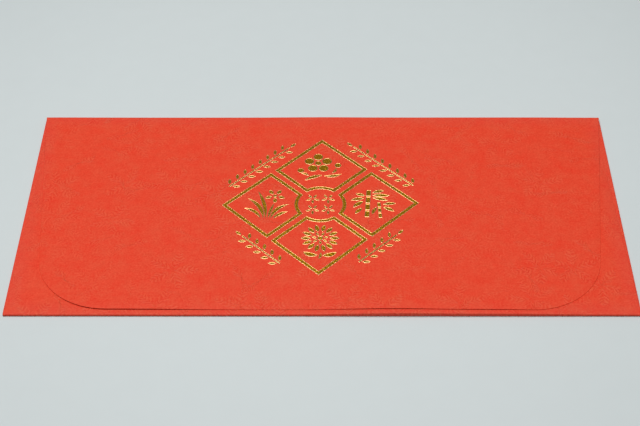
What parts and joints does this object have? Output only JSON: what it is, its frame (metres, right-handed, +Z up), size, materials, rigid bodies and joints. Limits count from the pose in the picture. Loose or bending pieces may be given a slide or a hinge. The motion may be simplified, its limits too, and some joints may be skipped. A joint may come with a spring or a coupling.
{
  "type": "red envelope",
  "caption": "Flat folded red paper gift envelope with a glued pocket, a deep hinged flap with round corners and a gold foil stamp on the flap.",
  "frame": {"origin": "middle of the closed envelope's footprint, on the table", "axes": "+X along the long edges, +Y from the pocket fold to the flap fold, +Z up from the table"},
  "size_m": [0.17, 0.082, 0.0012],
  "materials": {
    "red_paper": "matte, lightly embossed",
    "gold_foil": "gold-lacquered hot-stamped foil, bright",
    "glue": "dried paper glue"
  },
  "bodies": {
    "pocket": {"back_panel": "red_paper", "left_fold": "red_paper", "right_fold": "red_paper", "left_side_flap": "red_paper", "right_side_flap": "red_paper", "left_glue_strip": "glue", "right_glue_strip": "glue", "pocket_fold": "red_paper", "pocket_panel": "red_paper", "flap_fold": "red_paper"},
    "flap": {"closing_flap": "red_paper", "foil_cell_far": "gold_foil", "foil_cell_right": "gold_foil", "foil_cell_near": "gold_foil", "foil_cell_left": "gold_foil", "foil_plum_blossom": "gold_foil", "foil_bamboo": "gold_foil", "foil_chrysanthemum": "gold_foil", "foil_orchid": "gold_foil", "foil_centre_blossoms": "gold_foil", "foil_vine_far_left": "gold_foil", "foil_vine_far_right": "gold_foil", "foil_vine_near_left": "gold_foil", "foil_vine_near_right": "gold_foil"}
  },
  "joints": [
    {"name": "flap_fold_hinge", "type": "hinge", "parent": "pocket", "child": "flap", "pos_m": [0, 0.0404, 0.0006], "axis": [-1, 0, 0], "range_deg": [0, 175], "deforming": ["flap_fold"]}
  ]
}
